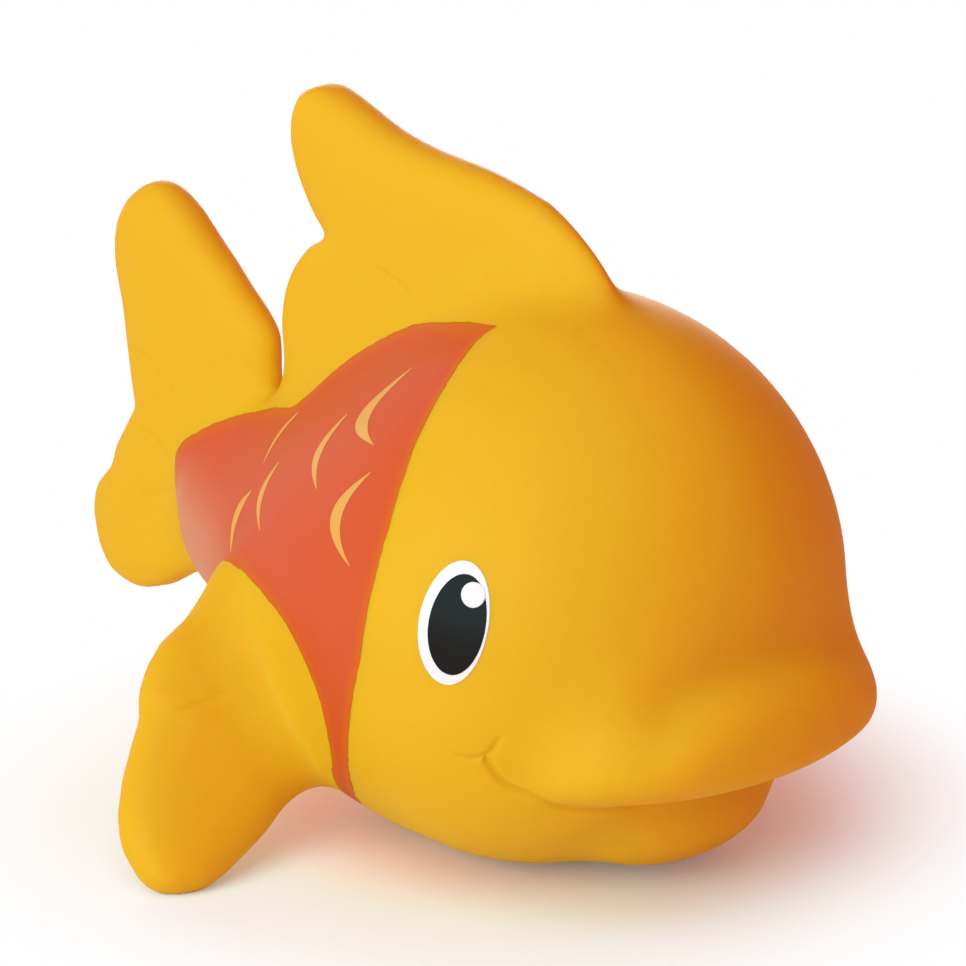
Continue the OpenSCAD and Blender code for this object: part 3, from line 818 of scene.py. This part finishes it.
def floor_finish():
    material = bpy.data.materials.new("white_floor")
    material.use_nodes = True
    tree = material.node_tree
    tree.nodes.clear()
    place = tree.nodes.new("ShaderNodeTexCoord")
    away = tree.nodes.new("ShaderNodeVectorMath")
    away.operation = "DISTANCE"
    away.inputs[1].default_value = FLOOR_CENTRE
    tree.links.new(place.outputs["Object"], away.inputs[0])
    # Painted light: warm near the toy for the light it throws back, cool further out against the room's warm light
    painted_bounce = blend_node(tree, range_node(tree, away.outputs["Value"], *PAINTED_BOUNCE_FADE))
    painted_bounce.inputs["A"].default_value = (*FLOOR_PAINTED_BOUNCE, 1.0)
    painted_bounce.inputs["B"].default_value = (*FLOOR_PAINTED_COOL, 1.0)
    seen_matte = tree.nodes.new("ShaderNodeBsdfDiffuse")
    tree.links.new(painted_bounce.outputs["Result"], seen_matte.inputs["Color"])
    lit = tree.nodes.new("ShaderNodeAddShader")
    tree.links.new(seen_matte.outputs[0], lit.inputs[0])
    tree.links.new(glowing(tree, FLOOR_GLOW, GLOW_STRENGTH), lit.inputs[1])
    fade = range_node(tree, away.outputs["Value"], *FLOOR_FADE)
    seen = either(tree, fade, lit.outputs[0], glowing(tree, (1.0, 1.0, 1.0), 1.0))

    matte = tree.nodes.new("ShaderNodeBsdfDiffuse")
    matte.inputs["Color"].default_value = (*FLOOR_LIGHT_BACK, 1.0)
    path = tree.nodes.new("ShaderNodeLightPath")
    above = either(tree, path.outputs["Is Camera Ray"], matte.outputs[0], seen)
    side = tree.nodes.new("ShaderNodeNewGeometry")
    clear = tree.nodes.new("ShaderNodeBsdfTransparent")
    output = tree.nodes.new("ShaderNodeOutputMaterial")
    tree.links.new(either(tree, side.outputs["Backfacing"], above, clear.outputs[0]), output.inputs["Surface"])
    return material


floor_mesh = bmesh.new()
bmesh.ops.create_grid(floor_mesh, x_segments=1, y_segments=1, size=FLOOR_SIZE)
floor_data = bpy.data.meshes.new("floor")
floor_mesh.to_mesh(floor_data)
floor_mesh.free()
floor = bpy.data.objects.new("floor", floor_data)
bpy.context.scene.collection.objects.link(floor)
floor_data.materials.append(floor_finish())

# The room is lit in a warm tone, its walls are pale in reflections, and the background is seen as white
ROOM_LIGHT = (0.60, 0.08, 0.07)
ROOM_WALLS = (0.3, 0.3, 0.3)

world = bpy.data.worlds.new("studio")
world.use_nodes = True
bpy.context.scene.world = world
tree = world.node_tree
tree.nodes.clear()


def room(colour):
    node = tree.nodes.new("ShaderNodeBackground")
    node.inputs["Color"].default_value = (*colour, 1.0)
    node.inputs["Strength"].default_value = 1.0
    return node.outputs[0]


path = tree.nodes.new("ShaderNodeLightPath")
lit = either(tree, path.outputs["Is Glossy Ray"], room(ROOM_LIGHT), room(ROOM_WALLS))
seen = either(tree, path.outputs["Is Camera Ray"], lit, room((1.0, 1.0, 1.0)))
output = tree.nodes.new("ShaderNodeOutputWorld")
tree.links.new(seen, output.inputs["Surface"])

# The lamps and the camera aim at the middle of the toy. A key lamp stands on its right, and weaker ones
# above it, at its tail and behind it.
AIM = Vector((8.04 * MM, 0.0, 35.39 * MM))
LAMP_DISTANCE = 0.6


def way_out(azimuth, elevation):
    """The way from the toy. Azimuth 0 is out from its right side, and 90 is out from its nose."""
    turn, up = math.radians(azimuth), math.radians(elevation)
    return Vector((math.sin(turn) * math.cos(up), -math.cos(turn) * math.cos(up), math.sin(up)))


def area_lamp(name, azimuth, elevation, size, power, colour):
    way = way_out(azimuth, elevation)
    lamp = bpy.data.lights.new(name, "AREA")
    lamp.shape = "SQUARE"
    lamp.size = size
    lamp.energy = power
    lamp.color = colour
    holder = bpy.data.objects.new(name, lamp)
    holder.location = AIM + way * LAMP_DISTANCE
    holder.rotation_euler = way.to_track_quat("Z", "Y").to_euler()
    bpy.context.scene.collection.objects.link(holder)


area_lamp("key_lamp", 5, 8, 0.6, 4.1, (0.52, 1.0, 1.0))
area_lamp("top_lamp", 24, 60, 0.5, 1.5, (0.60, 1.0, 1.0))
area_lamp("rim_lamp", -100, 20, 0.5, 0.6, (0.6, 1.0, 1.0))
area_lamp("rear_lamp", -135, 4, 0.3, 2.4, (0.7, 1.0, 1.0))

CAMERA_AZIMUTH, CAMERA_ELEVATION, CAMERA_DISTANCE = 45.0, 18.0, 0.550
CAMERA_SENSOR, CAMERA_LENS, CAMERA_NEAR = 36.0, 196.77, 0.01
back = way_out(CAMERA_AZIMUTH, CAMERA_ELEVATION)
camera_data = bpy.data.cameras.new("camera")
camera_data.sensor_width = CAMERA_SENSOR
camera_data.lens = CAMERA_LENS
camera_data.clip_start = CAMERA_NEAR
camera = bpy.data.objects.new("camera", camera_data)
camera.location = AIM + back * CAMERA_DISTANCE
camera.rotation_euler = back.to_track_quat("Z", "Y").to_euler()
bpy.context.scene.collection.objects.link(camera)
bpy.context.scene.camera = camera
bpy.context.scene.view_settings.view_transform = "Standard"
